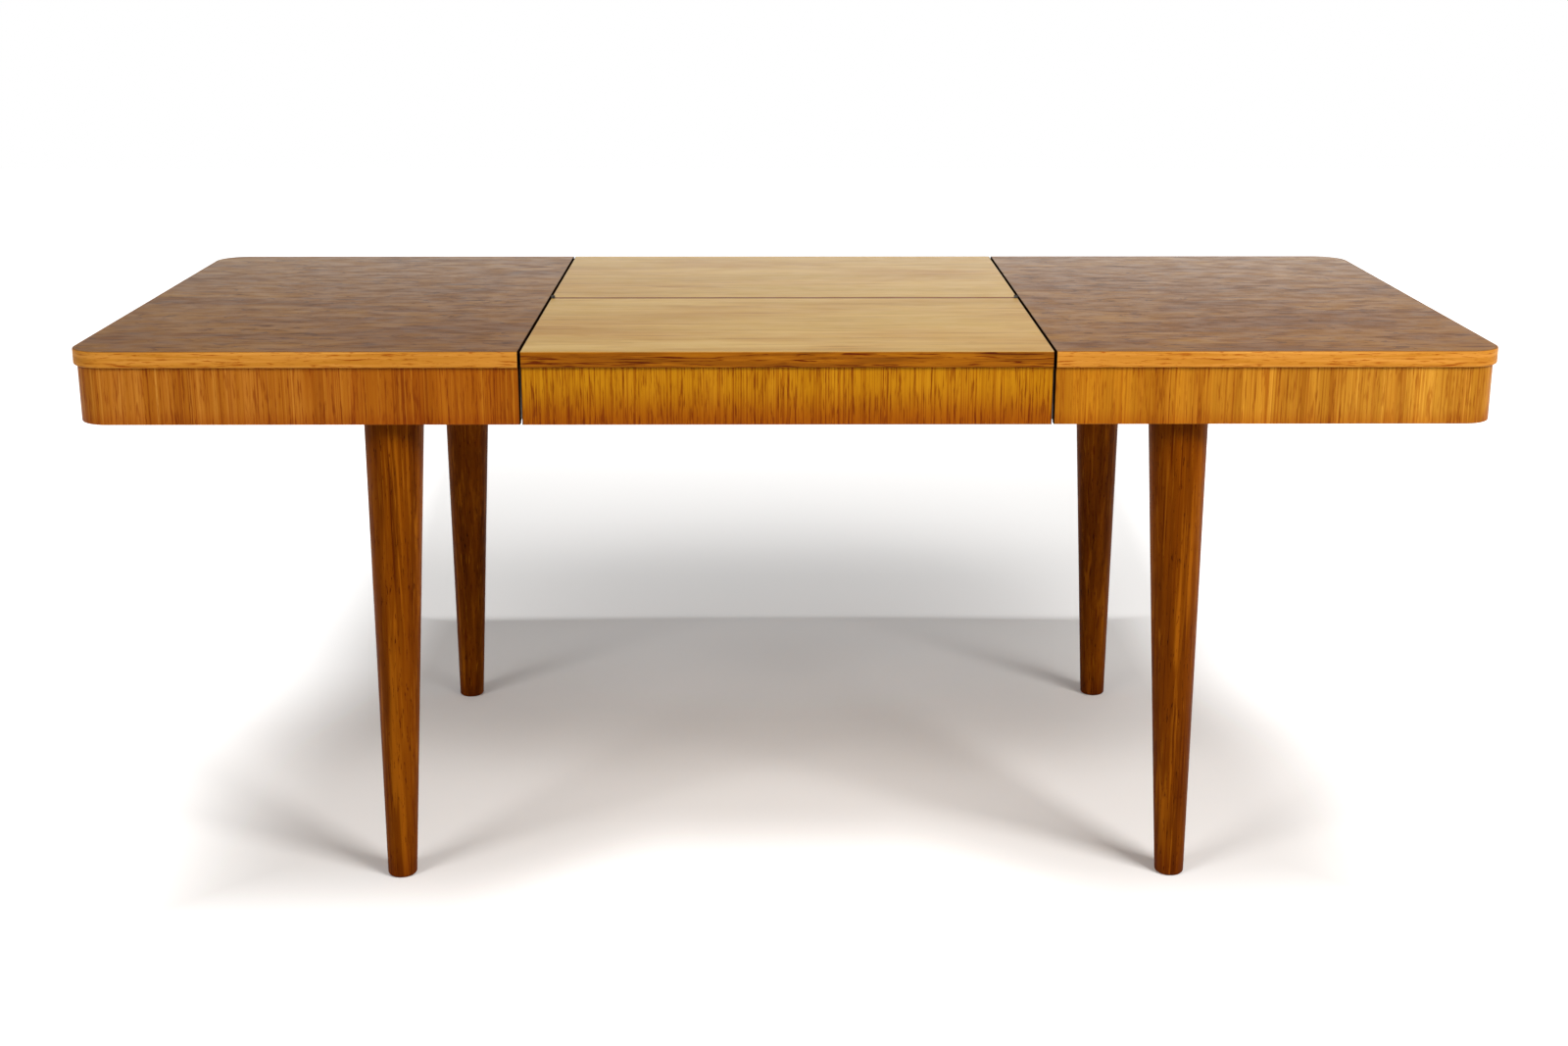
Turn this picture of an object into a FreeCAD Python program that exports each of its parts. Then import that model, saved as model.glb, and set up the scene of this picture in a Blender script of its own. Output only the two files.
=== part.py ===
"""Extending dining table: two half tops slide apart on a fixed frame, and a folding leaf fills the gap.

The origin is on the floor at the table's centre. X runs along the table, Y from front to back, Z up.
The table is modelled pulled out, with the leaf laid in and its aprons hanging. All sizes are millimetres.
"""

import FreeCAD, Part
import os
from math import radians, tan

Vector = FreeCAD.Vector

# Overall sizes
TABLE_HEIGHT = 775.0
TABLE_DEPTH = 850.0
HALF_LENGTH = 600.0  # one half top, from its seam edge to its end
LEAF_LENGTH = 708.0  # the leaf, from seam to seam
SEAM_GAP = 3.0  # between the leaf and each half top
OVERTRAVEL = 40.0  # how far a half still pulls out beyond the leaf, until its stop

# Tops and leaf boards
TOP_THICKNESS = 22.0
CORNER_RADIUS = 48.0  # in plan, at the ends of the table
LIPPING_THICKNESS = 4.0  # solid wood edge around each board
ARRIS_RADIUS = 2.0  # eased edge of the lipping
LEAF_RELIEF = 0.3  # the leaf's underside stands this much above the runners that carry it
FOLD_SEAM = 0.4  # between the two boards of the leaf
FOLD_ARRIS = 1.5  # eased edges along that seam

# Aprons
APRON_HEIGHT = 78.0
APRON_THICKNESS = 14.0
APRON_SETBACK = 5.0  # behind the edge of the top
LEAF_APRON_THICKNESS = 14.0
LEAF_APRON_PLAY = 0.3  # between a leaf apron and the board above it
GLUE_BLOCK_SIZE = 20.0
GLUE_BLOCK_LENGTH = 110.0
SEAM_BLOCK_LENGTH = 30.0  # of the upright block behind the seam end of a side apron
SEAM_BLOCK_RISE = 3.0  # lower end of that block above the apron's lower edge
END_BLOCK_SPACING = 260.0  # between the two blocks on an end apron

# Legs
LEG_INSET_X = 64.0  # leg axis to the end of the closed table, at the frame
LEG_INSET_Y = 74.0  # leg axis to the long edge, at the frame
LEG_SPLAY = 1.5  # degrees outwards, along X and along Y
LEG_TOP_DIAMETER = 86.0
FOOT_DIAMETER = 41.0
FOOT_ROUNDING = 3.0
LEG_TOP_CLEARANCE = 5.0  # below the underside of the tops
LEG_FLAT_DEPTH = 4.0  # seat milled on a leg for the end rail

# Fixed frame
FRAME_HEIGHT = 76.0
FRAME_CLEARANCE = 0.3  # between the frame and the tops that slide over it
END_RAIL_THICKNESS = 24.0
LEG_TENON_THICKNESS = 12.0
LEG_TENON_HEIGHT = 44.0
LEG_TENON_LENGTH = 30.0
TENON_RISE = 12.0  # lower edge of every tenon above the frame's lower edge
PEG_DIAMETER = 8.0
PEG_LENGTH = 52.0
PIN_PLAY = 0.05  # radial, around pegs, pins and screws
RUNNER_LEG_GAP = 10.6  # between the outer runners and the shoulders of the end rails
SLIDE_RAIL_THICKNESS = 32.0
SLIDE_TENON_THICKNESS = 12.0
SLIDE_TENON_HEIGHT = 30.0
SLIDE_TENON_LENGTH = 14.0
BEARER_WIDTH = 60.0
BEARER_THICKNESS = 18.0
BEARER_SPACING = 460.0  # between the two bearers that hold the stowed leaf

# Runners
RUNNER_WIDTH = 26.0
RUNNER_HEIGHT = 40.0
RUNNER_PLAY = 0.4  # between a runner and the slide rail beside it
RUNNER_END_GAP = 8.0  # to the far end rail when the table is closed
RUNNER_OUTER_INSET = 60.0  # from the end of the table
TONGUE_DEPTH = 8.0
TONGUE_HEIGHT = 12.0
TONGUE_DROP = 14.0  # tongue below the runner's top
GROOVE_PLAY = 0.3
GROOVE_STOP = 20.0  # uncut length of slide rail that stops the tongue
NOTCH_PLAY = 0.6  # around a runner where it passes an end rail

# Hinge in the leaf's fold
FOLD_AXIS_RISE = 0.2  # above the leaf's surface
FOLD_PLATE_THICKNESS = 2.5
FOLD_PLATE_PLAY = 0.2
FOLD_PLATE_LENGTH = 44.0
FOLD_PLATE_HEIGHT = 12.0
FOLD_PLATE_DROP = 3.0  # below the leaf's surface
FOLD_EAR_RADIUS = 4.0
FOLD_PIN_DIAMETER = 3.6
FOLD_NOTCH_PLAY = 0.6

# Hinges of the leaf's aprons
APRON_HINGE_SPACING = 440.0
APRON_HINGE_LENGTH = 54.0
APRON_HINGE_LEAF = 24.0
APRON_HINGE_SHEET = 1.6
KNUCKLE_RADIUS = 3.0
KNUCKLE_PLAY = 0.4
APRON_PIN_DIAMETER = 3.0

# Wood screws: shank diameter, head diameter and length
RUNNER_SCREW = (5.0, 10.0, 52.0)
BEARER_SCREW = (5.0, 10.0, 45.0)
FOLD_SCREW = (2.6, 5.2, 18.0)
APRON_HINGE_SCREW = (2.2, 4.4, 11.0)
RUNNER_SCREWS = 4  # in each runner
RUNNER_SCREW_INSET = 45.0

# Levels and places worked out from the sizes above
UNDERSIDE = TABLE_HEIGHT - TOP_THICKNESS
LEAF_UNDERSIDE = UNDERSIDE + LEAF_RELIEF
APRON_BOTTOM = UNDERSIDE - APRON_HEIGHT
FRAME_TOP = UNDERSIDE - FRAME_CLEARANCE
FRAME_BOTTOM = FRAME_TOP - FRAME_HEIGHT
FRAME_MIDDLE = (FRAME_TOP + FRAME_BOTTOM) / 2
TENON_BOTTOM = FRAME_BOTTOM + TENON_RISE
LEG_TOP = UNDERSIDE - LEG_TOP_CLEARANCE
EDGE_Y = TABLE_DEPTH / 2
LEAF_END = LEAF_LENGTH / 2
SEAM_X = LEAF_END + SEAM_GAP  # seam edge of a half top; also how far a half slides to close
END_X = SEAM_X + HALF_LENGTH
LEG_X = HALF_LENGTH - LEG_INSET_X
LEG_Y = EDGE_Y - LEG_INSET_Y
SPLAY = tan(radians(LEG_SPLAY))
END_RAIL_INNER = LEG_X - END_RAIL_THICKNESS / 2
END_RAIL_OUTER = LEG_X + END_RAIL_THICKNESS / 2
RUNNER_TOP = UNDERSIDE
RUNNER_BOTTOM = RUNNER_TOP - RUNNER_HEIGHT
RUNNER_INNER_X = SEAM_X - (END_RAIL_INNER - RUNNER_END_GAP)
RUNNER_OUTER_X = END_X - RUNNER_OUTER_INSET
TONGUE_TOP = RUNNER_TOP - TONGUE_DROP
TONGUE_BOTTOM = TONGUE_TOP - TONGUE_HEIGHT
GROOVE_END = END_RAIL_INNER - GROOVE_STOP
TONGUE_OUTER_X = GROOVE_END - OVERTRAVEL - GROOVE_PLAY
FOLD_AXIS_Z = TABLE_HEIGHT + FOLD_AXIS_RISE
APRON_AXIS_Y = EDGE_Y - APRON_SETBACK - LEAF_APRON_THICKNESS
SIDE_APRON_INNER = EDGE_Y - APRON_SETBACK - APRON_THICKNESS
APRON_AXIS_Z = LEAF_UNDERSIDE - LEAF_APRON_PLAY
LEFT, RIGHT = -1, 1
FRONT, BACK = -1, 1
SIDE_NAMES = {LEFT: "left", RIGHT: "right"}
DEPTH_NAMES = {FRONT: "front", BACK: "back"}
ALONG_X = Vector(1, 0, 0)
UP = Vector(0, 0, 1)


def block(x, y, z):
    """A box between two x, two y and two z values, given in any order."""
    low = Vector(min(x), min(y), min(z))
    return Part.makeBox(abs(x[1] - x[0]), abs(y[1] - y[0]), abs(z[1] - z[0]), low)


def rod(diameter, start, direction, length):
    return Part.makeCylinder(diameter / 2, length, start, direction)


def group(shapes):
    return Part.makeCompound(shapes)


def screw(sizes, head, direction, play=0.0):
    """A countersunk wood screw from the middle of its head; with play it is the hole for one."""
    shank, head_diameter, length = sizes
    taper = (head_diameter - shank) / 2
    cone = Part.makeCone(head_diameter / 2 + play, shank / 2 + play, taper, head, direction)
    return cone.fuse(rod(shank + 2 * play, head, direction, length + play)).removeSplitter()


def drilled(shape, sizes, heads, direction):
    """The shape with a hole for each screw."""
    for head in heads:
        shape = shape.cut(screw(sizes, head, direction, PIN_PLAY))
    return shape


def leg_radius(z):
    return (FOOT_DIAMETER + (LEG_TOP_DIAMETER - FOOT_DIAMETER) * z / LEG_TOP) / 2


def leg_axis(side, depth, z):
    """The point of a leg's sloping axis at height z."""
    lean = SPLAY * (FRAME_MIDDLE - z)
    return Vector(side * (LEG_X + lean), depth * (LEG_Y + lean), z)


LEG_FLAT_Y = LEG_Y - leg_radius(FRAME_MIDDLE) + LEG_FLAT_DEPTH  # shoulder of the end rail
SLIDE_RAIL_Y = LEG_FLAT_Y - RUNNER_LEG_GAP - RUNNER_WIDTH - RUNNER_PLAY - SLIDE_RAIL_THICKNESS / 2


def leg_tenon(side, depth):
    """The tenon of an end rail, and the mortise of the leg that takes it."""
    half = LEG_TENON_THICKNESS / 2
    return block(
        (side * LEG_X - half, side * LEG_X + half),
        (depth * LEG_FLAT_Y, depth * (LEG_FLAT_Y + LEG_TENON_LENGTH)),
        (TENON_BOTTOM, TENON_BOTTOM + LEG_TENON_HEIGHT),
    )


def peg(side, depth, play=0.0):
    """A wooden peg through a leg and the tenon in it, from the end of the table inwards."""
    y = depth * (LEG_FLAT_Y + LEG_TENON_LENGTH / 2)
    z = TENON_BOTTOM + LEG_TENON_HEIGHT / 2
    start = Vector(side * (LEG_X + PEG_LENGTH / 2), y, z)
    return rod(PEG_DIAMETER + 2 * play, start, Vector(-side, 0, 0), PEG_LENGTH)


def leg(side, depth):
    """A round tapered leg, splayed both ways, cut flat at the floor and seated on the end rail."""
    margin = LEG_TOP_DIAMETER
    low, high = leg_axis(side, depth, -margin), leg_axis(side, depth, LEG_TOP + margin)
    axis = high - low
    cone = Part.makeCone(leg_radius(-margin), leg_radius(LEG_TOP + margin), axis.Length, low, axis)
    reach = (side * (LEG_X - margin), side * (LEG_X + 2 * margin))
    span = (depth * (LEG_Y - margin), depth * (LEG_Y + 2 * margin))
    body = cone.common(block(reach, span, (0, LEG_TOP)))
    rim = [edge for edge in body.Edges if edge.BoundBox.ZMax < FOOT_ROUNDING]
    body = body.makeFillet(FOOT_ROUNDING, rim)
    flat = block(reach, (depth * (LEG_Y - margin), depth * LEG_FLAT_Y), (FRAME_BOTTOM, LEG_TOP))
    return body.cut(flat).cut(leg_tenon(side, depth)).cut(peg(side, depth, PIN_PLAY))


def slide_tenon(side, depth):
    """The tenon of a slide rail, and the mortise of the end rail that takes it."""
    half = SLIDE_TENON_THICKNESS / 2
    return block(
        (side * END_RAIL_INNER, side * (END_RAIL_INNER + SLIDE_TENON_LENGTH)),
        (depth * SLIDE_RAIL_Y - half, depth * SLIDE_RAIL_Y + half),
        (TENON_BOTTOM, TENON_BOTTOM + SLIDE_TENON_HEIGHT),
    )


def lane(side):
    """How a half's runners lie beside the slide rails: near face, far face and the way away from the rail.

    The right half runs on the inner faces of the slide rails, the left half on the outer faces.
    """
    outward = 1 if side == LEFT else -1
    near = SLIDE_RAIL_Y + outward * (SLIDE_RAIL_THICKNESS / 2 + RUNNER_PLAY)
    return near, near + outward * RUNNER_WIDTH, outward


def end_rail(side):
    """The rail between two legs, mortised for the slide rails and notched for the runners that pass it."""
    rail = block(
        (side * END_RAIL_INNER, side * END_RAIL_OUTER), (-LEG_FLAT_Y, LEG_FLAT_Y), (FRAME_BOTTOM, FRAME_TOP)
    )
    near, far, outward = lane(side)
    for depth in (FRONT, BACK):
        rail = rail.fuse(leg_tenon(side, depth)).cut(slide_tenon(side, depth))
        rail = rail.cut(peg(side, depth, PIN_PLAY))
        notch = block(
            (side * END_RAIL_INNER, side * END_RAIL_OUTER),
            (depth * (near - outward * NOTCH_PLAY), depth * (far + outward * NOTCH_PLAY)),
            (RUNNER_BOTTOM - NOTCH_PLAY, FRAME_TOP),
        )
        rail = rail.cut(notch)
    return rail


def groove(side, depth):
    """The groove of a slide rail for one runner's tongue, stopped short of the end it pulls towards."""
    near, far, outward = lane(side)
    face = near - outward * RUNNER_PLAY
    bottom = face - outward * (TONGUE_DEPTH - RUNNER_PLAY + GROOVE_PLAY)
    return block(
        (-side * END_RAIL_INNER, side * GROOVE_END),
        (depth * face, depth * bottom),
        (TONGUE_BOTTOM - GROOVE_PLAY, TONGUE_TOP + GROOVE_PLAY),
    )


def bearer_screw_heads(depth):
    low = FRAME_BOTTOM - BEARER_THICKNESS
    reach = BEARER_WIDTH / 4
    middles = (-BEARER_SPACING / 2, BEARER_SPACING / 2)
    return [Vector(x + dx, depth * SLIDE_RAIL_Y, low) for x in middles for dx in (-reach, reach)]


def slide_rail(depth):
    """The long fixed rail that both halves slide on, tenoned into the end rails."""
    half = SLIDE_RAIL_THICKNESS / 2
    rail = block(
        (-END_RAIL_INNER, END_RAIL_INNER),
        (depth * SLIDE_RAIL_Y - half, depth * SLIDE_RAIL_Y + half),
        (FRAME_BOTTOM, FRAME_TOP),
    )
    for side in (LEFT, RIGHT):
        rail = rail.fuse(slide_tenon(side, depth)).cut(groove(side, depth))
    return drilled(rail, BEARER_SCREW, bearer_screw_heads(depth), UP)


def bearer(side):
    """A slat under the slide rails. The folded leaf lies on both slats when the table is closed."""
    middle = side * BEARER_SPACING / 2
    reach = SLIDE_RAIL_Y + SLIDE_RAIL_THICKNESS / 2
    slat = block(
        (middle - BEARER_WIDTH / 2, middle + BEARER_WIDTH / 2),
        (-reach, reach),
        (FRAME_BOTTOM - BEARER_THICKNESS, FRAME_BOTTOM),
    )
    for depth in (FRONT, BACK):
        slat = drilled(slat, BEARER_SCREW, bearer_screw_heads(depth), UP)
    return slat


def half_outline(side, inset, bottom, height):
    """A half top's outline, pulled in by inset at its three outer edges, with two rounded corners."""
    radius = CORNER_RADIUS - inset
    span = (inset - EDGE_Y, EDGE_Y - inset)
    outline = block((side * SEAM_X, side * (END_X - inset)), span, (bottom, bottom + height))
    corners = [
        edge
        for edge in outline.Edges
        if edge.BoundBox.ZLength > height / 2 and abs(edge.BoundBox.Center.x) > SEAM_X + HALF_LENGTH / 2
    ]
    return outline.makeFillet(radius, corners)


def runner_screw_heads(side, depth):
    near, far, outward = lane(side)
    first = SEAM_X + RUNNER_SCREW_INSET
    step = (RUNNER_OUTER_X - RUNNER_SCREW_INSET - first) / (RUNNER_SCREWS - 1)
    y = depth * (near + far) / 2
    return [Vector(side * (first + i * step), y, RUNNER_BOTTOM) for i in range(RUNNER_SCREWS)]


def half_top(side):
    """The veneered board of a half top, inside its lipping."""
    board = half_outline(side, LIPPING_THICKNESS, UNDERSIDE, TOP_THICKNESS)
    for depth in (FRONT, BACK):
        board = drilled(board, RUNNER_SCREW, runner_screw_heads(side, depth), UP)
    return board


def half_lipping(side):
    """The solid edge around the three outer sides of a half top, with eased outer edges."""
    whole = half_outline(side, 0, UNDERSIDE, TOP_THICKNESS)
    rims = [
        edge
        for edge in whole.Edges
        if edge.BoundBox.ZLength < ARRIS_RADIUS and abs(edge.BoundBox.Center.x) > SEAM_X + ARRIS_RADIUS
    ]
    board = half_outline(side, LIPPING_THICKNESS, UNDERSIDE, TOP_THICKNESS)
    return whole.makeFillet(ARRIS_RADIUS, rims).cut(board)


def half_apron(side, depth):
    """The straight apron board along one long side of a half."""
    return block(
        (side * SEAM_X, side * (END_X - CORNER_RADIUS)),
        (depth * SIDE_APRON_INNER, depth * (EDGE_Y - APRON_SETBACK)),
        (APRON_BOTTOM, UNDERSIDE),
    )


def end_apron(side):
    """The straight apron board across the end of a half."""
    outer = END_X - APRON_SETBACK
    reach = EDGE_Y - CORNER_RADIUS
    across = (side * (outer - APRON_THICKNESS), side * outer)
    return block(across, (-reach, reach), (APRON_BOTTOM, UNDERSIDE))


def apron_corner(side, depth):
    """The rounded corner piece between a side apron and the end apron."""
    outer = half_outline(side, APRON_SETBACK, APRON_BOTTOM, APRON_HEIGHT)
    inner = half_outline(side, APRON_SETBACK + APRON_THICKNESS, APRON_BOTTOM, APRON_HEIGHT)
    quarter = block(
        (side * (END_X - CORNER_RADIUS), side * END_X),
        (depth * (EDGE_Y - CORNER_RADIUS), depth * EDGE_Y),
        (APRON_BOTTOM, UNDERSIDE),
    )
    return outer.cut(inner).common(quarter)


def glue_blocks(side):
    """Upright blocks behind the seam ends of the side aprons, and two blocks in the angle of the end apron."""
    upright = (APRON_BOTTOM + SEAM_BLOCK_RISE, UNDERSIDE)
    level = (UNDERSIDE - GLUE_BLOCK_SIZE, UNDERSIDE)
    end_face = END_X - APRON_SETBACK - APRON_THICKNESS
    seam_end = (side * SEAM_X, side * (SEAM_X + SEAM_BLOCK_LENGTH))
    blocks = []
    for depth in (FRONT, BACK):
        behind = (depth * (SIDE_APRON_INNER - GLUE_BLOCK_SIZE), depth * SIDE_APRON_INNER)
        blocks.append(block(seam_end, behind, upright))
        middle = depth * END_BLOCK_SPACING / 2
        across = (middle - GLUE_BLOCK_LENGTH / 2, middle + GLUE_BLOCK_LENGTH / 2)
        blocks.append(block((side * (end_face - GLUE_BLOCK_SIZE), side * end_face), across, level))
    return group(blocks)


def runner(side, depth):
    """The bar under a half top that slides along a slide rail, with a tongue that stops it tipping."""
    near, far, outward = lane(side)
    bar = block(
        (side * RUNNER_INNER_X, side * RUNNER_OUTER_X),
        (depth * near, depth * far),
        (RUNNER_BOTTOM, RUNNER_TOP),
    )
    tongue = block(
        (side * RUNNER_INNER_X, side * TONGUE_OUTER_X),
        (depth * near, depth * (near - outward * TONGUE_DEPTH)),
        (TONGUE_BOTTOM, TONGUE_TOP),
    )
    bar = bar.fuse(tongue).removeSplitter()
    return drilled(bar, RUNNER_SCREW, runner_screw_heads(side, depth), UP)


def runner_screws(side):
    heads = runner_screw_heads(side, FRONT) + runner_screw_heads(side, BACK)
    return group([screw(RUNNER_SCREW, head, UP) for head in heads])


def fold_plate_face(depth):
    """Outer face of a fold plate, from the table's middle: the front plates lie inside the back ones."""
    return LEAF_END if depth == BACK else LEAF_END - FOLD_PLATE_THICKNESS - FOLD_PLATE_PLAY


def fold_plate_outline(side, depth, play=0.0):
    """A flat plate let into the end of a leaf board, with a round ear on the fold's axis."""
    face = fold_plate_face(depth)
    across = (side * (face - FOLD_PLATE_THICKNESS - play), side * face)
    top = TABLE_HEIGHT - FOLD_PLATE_DROP
    gap = FOLD_SEAM / 2
    plate = block(
        across,
        (depth * gap, depth * (gap + FOLD_PLATE_LENGTH + play)),
        (top - FOLD_PLATE_HEIGHT - play, top + play),
    )
    neck = block(across, (depth * gap, depth * (FOLD_EAR_RADIUS + play)), (top, FOLD_AXIS_Z))
    centre = Vector(across[0], 0, FOLD_AXIS_Z)
    ear = Part.makeCylinder(FOLD_EAR_RADIUS + play, abs(across[1] - across[0]), centre, Vector(side, 0, 0))
    return plate.fuse(neck).fuse(ear).removeSplitter()


def fold_pin(side, play=0.0):
    """The pin through both ears of a fold hinge."""
    length = 2 * FOLD_PLATE_THICKNESS + FOLD_PLATE_PLAY
    start = Vector(side * LEAF_END, 0, FOLD_AXIS_Z)
    return rod(FOLD_PIN_DIAMETER + 2 * play, start, Vector(-side, 0, 0), length)


def fold_screw_heads(side, depth):
    x = side * fold_plate_face(depth)
    z = TABLE_HEIGHT - FOLD_PLATE_DROP - FOLD_PLATE_HEIGHT / 2
    return [Vector(x, depth * share * FOLD_PLATE_LENGTH, z) for share in (0.4, 0.8)]


def fold_plate(side, depth):
    inward = Vector(-side, 0, 0)
    plate = drilled(fold_plate_outline(side, depth), FOLD_SCREW, fold_screw_heads(side, depth), inward)
    return plate.cut(fold_pin(side, PIN_PLAY))


def fold_notch(side, depth):
    """Room in a leaf board for its own plate, for the other board's ear and for the pin."""
    play = FOLD_NOTCH_PLAY
    deep = LEAF_END - 2 * FOLD_PLATE_THICKNESS - FOLD_PLATE_PLAY - play
    ear_room = FOLD_EAR_RADIUS + play
    corner = block(
        (side * deep, side * LEAF_END), (0, depth * ear_room), (FOLD_AXIS_Z - ear_room, TABLE_HEIGHT)
    )
    face = fold_plate_face(depth)
    pocket = fold_plate_outline(side, depth)
    mouth = block(
        (side * (face - FOLD_PLATE_THICKNESS), side * LEAF_END),
        (0, depth * (FOLD_SEAM / 2 + FOLD_PLATE_LENGTH)),
        (TABLE_HEIGHT - FOLD_PLATE_DROP - FOLD_PLATE_HEIGHT, TABLE_HEIGHT - FOLD_PLATE_DROP),
    )
    return corner.fuse(pocket).fuse(mouth)


def apron_hinge_middles():
    return (-APRON_HINGE_SPACING / 2, APRON_HINGE_SPACING / 2)


def apron_hinge_rod(middle, depth, radius, share, offset=0.0):
    """A cylinder on an apron hinge's axis, over a share of the hinge's length."""
    length = APRON_HINGE_LENGTH * share
    start = Vector(middle + offset * APRON_HINGE_LENGTH - length / 2, depth * APRON_AXIS_Y, APRON_AXIS_Z)
    return Part.makeCylinder(radius, length, start, ALONG_X)


def apron_hinge_recess(middle, depth):
    """Room for a hinge's knuckles in the board and in the apron."""
    return apron_hinge_rod(middle, depth, KNUCKLE_RADIUS + KNUCKLE_PLAY, 1.02)


def hinge_span(middle):
    return (middle - APRON_HINGE_LENGTH / 2, middle + APRON_HINGE_LENGTH / 2)


def board_sheet(middle, depth):
    """The hinge leaf let into the underside of a leaf board."""
    clear = KNUCKLE_RADIUS + KNUCKLE_PLAY
    return block(
        hinge_span(middle),
        (depth * (APRON_AXIS_Y - clear), depth * (APRON_AXIS_Y - APRON_HINGE_LEAF)),
        (LEAF_UNDERSIDE, LEAF_UNDERSIDE + APRON_HINGE_SHEET),
    )


def apron_sheet(middle, depth):
    """The hinge leaf let into the inner face of a leaf apron."""
    clear = KNUCKLE_RADIUS + KNUCKLE_PLAY
    return block(
        hinge_span(middle),
        (depth * APRON_AXIS_Y, depth * (APRON_AXIS_Y + APRON_HINGE_SHEET)),
        (APRON_AXIS_Z - clear, APRON_AXIS_Z - APRON_HINGE_LEAF),
    )


def board_screw_heads(depth):
    y = depth * (APRON_AXIS_Y - (APRON_HINGE_LEAF + KNUCKLE_RADIUS) / 2)
    reach = APRON_HINGE_LENGTH / 3
    return [Vector(m + dx, y, LEAF_UNDERSIDE) for m in apron_hinge_middles() for dx in (-reach, reach)]


def apron_screw_heads(depth):
    z = APRON_AXIS_Z - (APRON_HINGE_LEAF + KNUCKLE_RADIUS) / 2
    reach = APRON_HINGE_LENGTH / 3
    return [Vector(m + dx, depth * APRON_AXIS_Y, z) for m in apron_hinge_middles() for dx in (-reach, reach)]


def board_hinge_leaf(middle, depth):
    """The half of an apron hinge on the board: a sheet with the two outer knuckles and the pin's seat."""
    leaf = board_sheet(middle, depth)
    for offset in (-0.34, 0.34):
        knuckle = apron_hinge_rod(middle, depth, KNUCKLE_RADIUS, 0.32, offset)
        low = middle + (offset - 0.16) * APRON_HINGE_LENGTH
        high = middle + (offset + 0.16) * APRON_HINGE_LENGTH
        web = block(
            (low, high),
            (depth * APRON_AXIS_Y, depth * (APRON_AXIS_Y - 2 * KNUCKLE_RADIUS)),
            (LEAF_UNDERSIDE, LEAF_UNDERSIDE + APRON_HINGE_SHEET),
        )
        leaf = leaf.fuse(knuckle).fuse(web)
    pin_hole = apron_hinge_rod(middle, depth, APRON_PIN_DIAMETER / 2 + PIN_PLAY, 1.0)
    leaf = leaf.removeSplitter().cut(pin_hole)
    heads = [head for head in board_screw_heads(depth) if abs(head.x - middle) < APRON_HINGE_LENGTH]
    return drilled(leaf, APRON_HINGE_SCREW, heads, UP)


def apron_hinge_leaf(middle, depth):
    """The half of an apron hinge on the apron: a sheet with the middle knuckle."""
    knuckle = apron_hinge_rod(middle, depth, KNUCKLE_RADIUS, 0.34)
    low = middle - 0.17 * APRON_HINGE_LENGTH
    high = middle + 0.17 * APRON_HINGE_LENGTH
    web = block(
        (low, high),
        (depth * APRON_AXIS_Y, depth * (APRON_AXIS_Y + APRON_HINGE_SHEET)),
        (APRON_AXIS_Z, APRON_AXIS_Z - 2 * KNUCKLE_RADIUS),
    )
    leaf = apron_sheet(middle, depth).fuse(knuckle).fuse(web).removeSplitter()
    leaf = leaf.cut(apron_hinge_rod(middle, depth, APRON_PIN_DIAMETER / 2 + PIN_PLAY, 1.0))
    heads = [head for head in apron_screw_heads(depth) if abs(head.x - middle) < APRON_HINGE_LENGTH]
    return drilled(leaf, APRON_HINGE_SCREW, heads, Vector(0, depth, 0))


def leaf_board(depth):
    """One board of the leaf, inside its lipping, cut for the fold hinges and the apron hinges."""
    board = block(
        (-LEAF_END, LEAF_END),
        (depth * FOLD_SEAM / 2, depth * (EDGE_Y - LIPPING_THICKNESS)),
        (LEAF_UNDERSIDE, TABLE_HEIGHT),
    )
    seam_edges = [
        edge
        for edge in board.Edges
        if edge.BoundBox.XLength > LEAF_END
        and abs(edge.BoundBox.Center.y) < FOLD_SEAM
        and edge.BoundBox.Center.z > UNDERSIDE + TOP_THICKNESS / 2
    ]
    board = board.makeFillet(FOLD_ARRIS, seam_edges)
    for side in (LEFT, RIGHT):
        board = board.cut(fold_notch(side, depth))
        board = drilled(board, FOLD_SCREW, fold_screw_heads(side, depth), Vector(-side, 0, 0))
    for middle in apron_hinge_middles():
        board = board.cut(apron_hinge_recess(middle, depth)).cut(board_hinge_leaf(middle, depth))
        board = board.cut(board_sheet(middle, depth))
    return drilled(board, APRON_HINGE_SCREW, board_screw_heads(depth), UP)


def leaf_lipping(depth):
    """The solid edge along the outer side of a leaf board."""
    edge_strip = block(
        (-LEAF_END, LEAF_END),
        (depth * (EDGE_Y - LIPPING_THICKNESS), depth * EDGE_Y),
        (LEAF_UNDERSIDE, TABLE_HEIGHT),
    )
    rims = [
        edge
        for edge in edge_strip.Edges
        if edge.BoundBox.XLength > LEAF_END and abs(edge.BoundBox.Center.y) > EDGE_Y - LIPPING_THICKNESS / 2
    ]
    return edge_strip.makeFillet(ARRIS_RADIUS, rims)


def leaf_apron(depth):
    """The apron of a leaf board. It hangs from two hinges and folds up flat under the board."""
    board = block(
        (-LEAF_END, LEAF_END),
        (depth * APRON_AXIS_Y, depth * (EDGE_Y - APRON_SETBACK)),
        (APRON_BOTTOM, APRON_AXIS_Z),
    )
    for middle in apron_hinge_middles():
        board = board.cut(apron_hinge_recess(middle, depth)).cut(apron_hinge_leaf(middle, depth))
        board = board.cut(apron_sheet(middle, depth))
    return drilled(board, APRON_HINGE_SCREW, apron_screw_heads(depth), Vector(0, depth, 0))


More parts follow.
